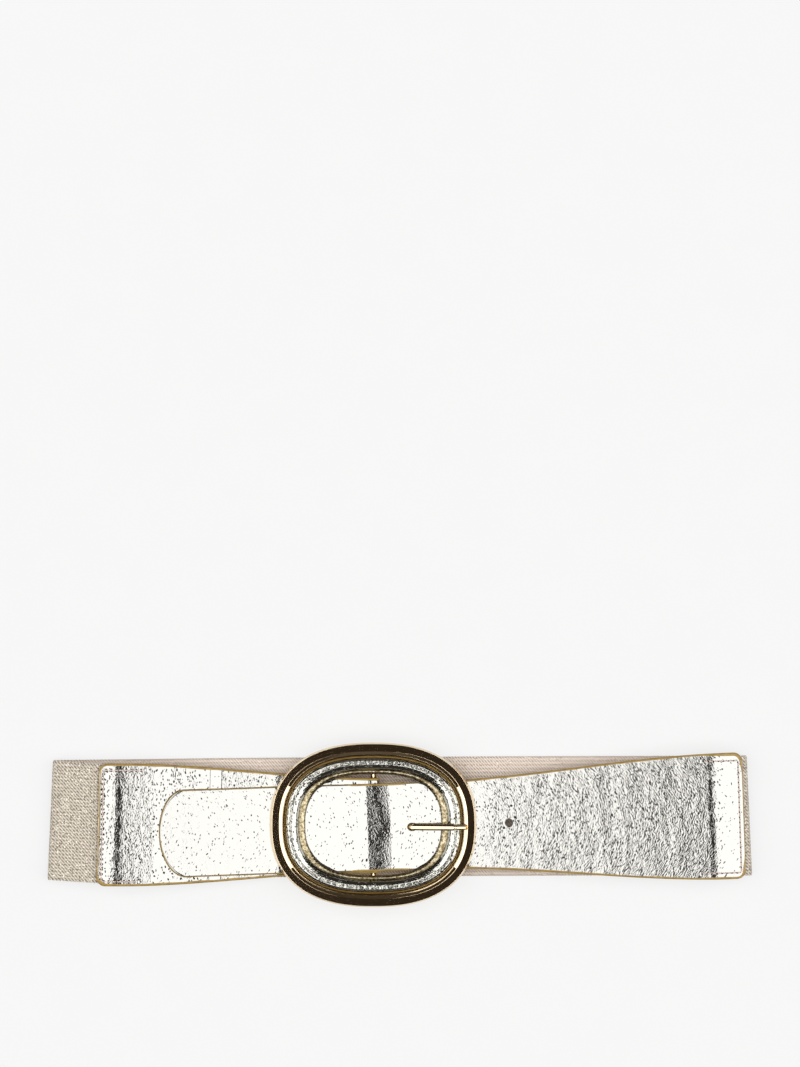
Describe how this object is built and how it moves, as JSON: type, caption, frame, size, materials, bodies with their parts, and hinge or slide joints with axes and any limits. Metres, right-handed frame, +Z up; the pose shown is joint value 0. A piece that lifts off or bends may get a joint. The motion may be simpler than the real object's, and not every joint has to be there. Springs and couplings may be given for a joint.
{
  "type": "elastic stretch belt",
  "caption": "Wide elastic waist belt, fastened and lying flat, with foil leather ends and a large padded oval buckle with a centre bar and prong.",
  "frame": {"origin": "middle of the underside of the flattened belt, on the surface it lies on", "axes": "+X along the belt towards the strap's stitched end, +Y across the belt, +Z up through the front of the buckle"},
  "size_m": [0.3526, 0.0822, 0.0157],
  "materials": {
    "elastic": "matt woven elastic with a fine metallic fleck",
    "foil_leather": "pebbled leather under pale champagne metallic foil",
    "gold_plate": "polished pale gold plating",
    "edge_paint": "gold painted leather edge",
    "thread": "twisted sewing thread"
  },
  "bodies": {
    "root": {"elastic_band": "elastic", "buckle_panel": "foil_leather", "strap_panel": "foil_leather", "buckle_frame": "gold_plate", "ring_wrap": "foil_leather", "prong": "gold_plate"}
  },
  "joints": []
}
